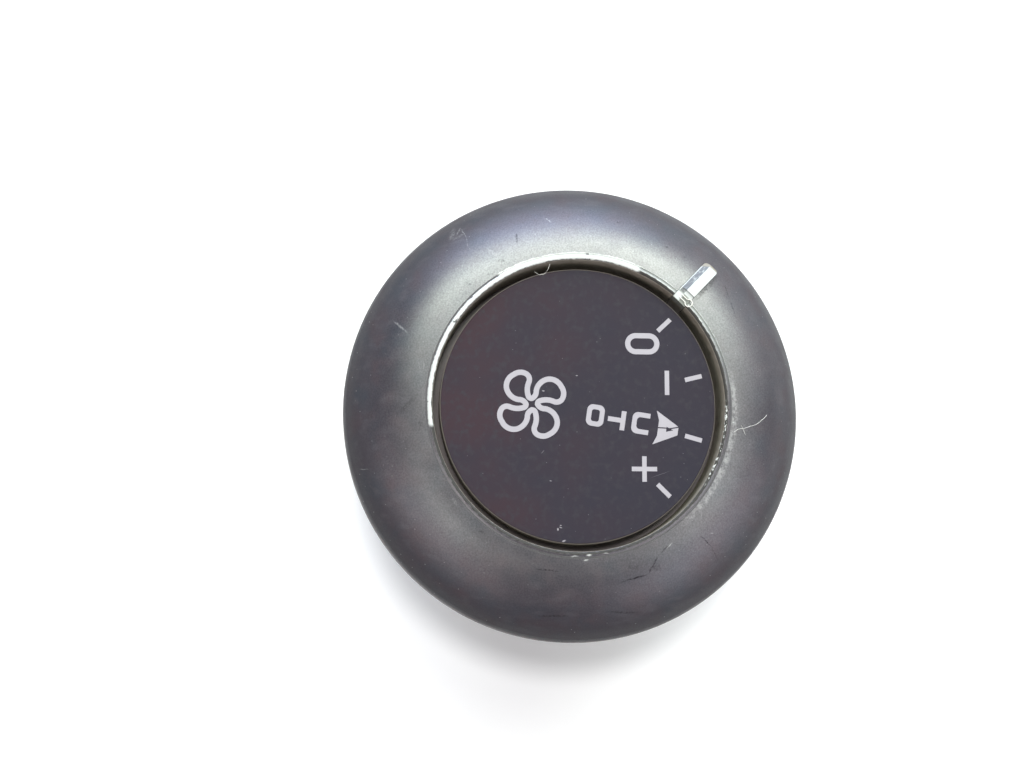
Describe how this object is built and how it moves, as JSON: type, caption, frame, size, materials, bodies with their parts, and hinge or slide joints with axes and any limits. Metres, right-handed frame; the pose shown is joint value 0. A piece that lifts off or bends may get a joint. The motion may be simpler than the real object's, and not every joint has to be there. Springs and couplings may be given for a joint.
{
  "type": "rotary fan switch",
  "caption": "Panel-mounted rotary fan switch for a cabin heater: domed ring knob with a pointer, turning about a fixed backlit dial, with a clip-in body and a rear connector socket.",
  "frame": {"origin": "on the knob's axis, in the plane of the panel's front face, where the flange seats", "axes": "+Z along the knob's axis, out of the panel at the user; +Y to the top of the dial; +X to the dial's right"},
  "size_m": [0.06, 0.06, 0.0426],
  "materials": {
    "knob_paint": "soft satin paint, worn along the lip",
    "clear_plastic": "clear, glossy",
    "dial_paint": "fine matt paint",
    "print": "translucent, satin",
    "diffuser_plastic": "milky",
    "white_plastic": "moulded, satin",
    "acetal": "natural, satin",
    "ptfe": "waxy",
    "body_plastic": "moulded, fine grain",
    "header_plastic": "moulded",
    "board": "green resist on glass laminate",
    "copper": "plated",
    "bronze": "stamped",
    "pin_metal": "tin plated",
    "spring_steel": "stamped, passivated",
    "screw_steel": "zinc plated",
    "lamp_resin": "moulded resin",
    "chip_resin": "moulded resin"
  },
  "bodies": {
    "switch_body": {"dial_plate": "dial_paint", "dial_markings": "print", "dial_diffuser": "diffuser_plastic", "dial_carrier": "white_plastic", "post_screws": "screw_steel", "housing": "body_plastic", "friction_washer": "ptfe", "detent_spring": "spring_steel", "circuit_board": "board", "contact_tracks": "copper", "dial_lamps": "lamp_resin", "board_parts": "chip_resin", "pin_header": "header_plastic", "terminal_pins": "pin_metal", "rear_case": "body_plastic", "case_screws": "screw_steel", "panel_clip_left": "spring_steel", "panel_clip_right": "spring_steel"},
    "knob": {"knob_ring": "knob_paint", "pointer_light_guide": "clear_plastic", "knob_snap_ring": "spring_steel", "rotor": "acetal", "wiper_contacts": "bronze"}
  },
  "joints": [
    {"name": "knob_turn", "type": "hinge", "parent": "switch_body", "child": "knob", "pos_m": [0, 0, 0], "axis": [0, 0, 1], "range_deg": [-87, 0]}
  ]
}
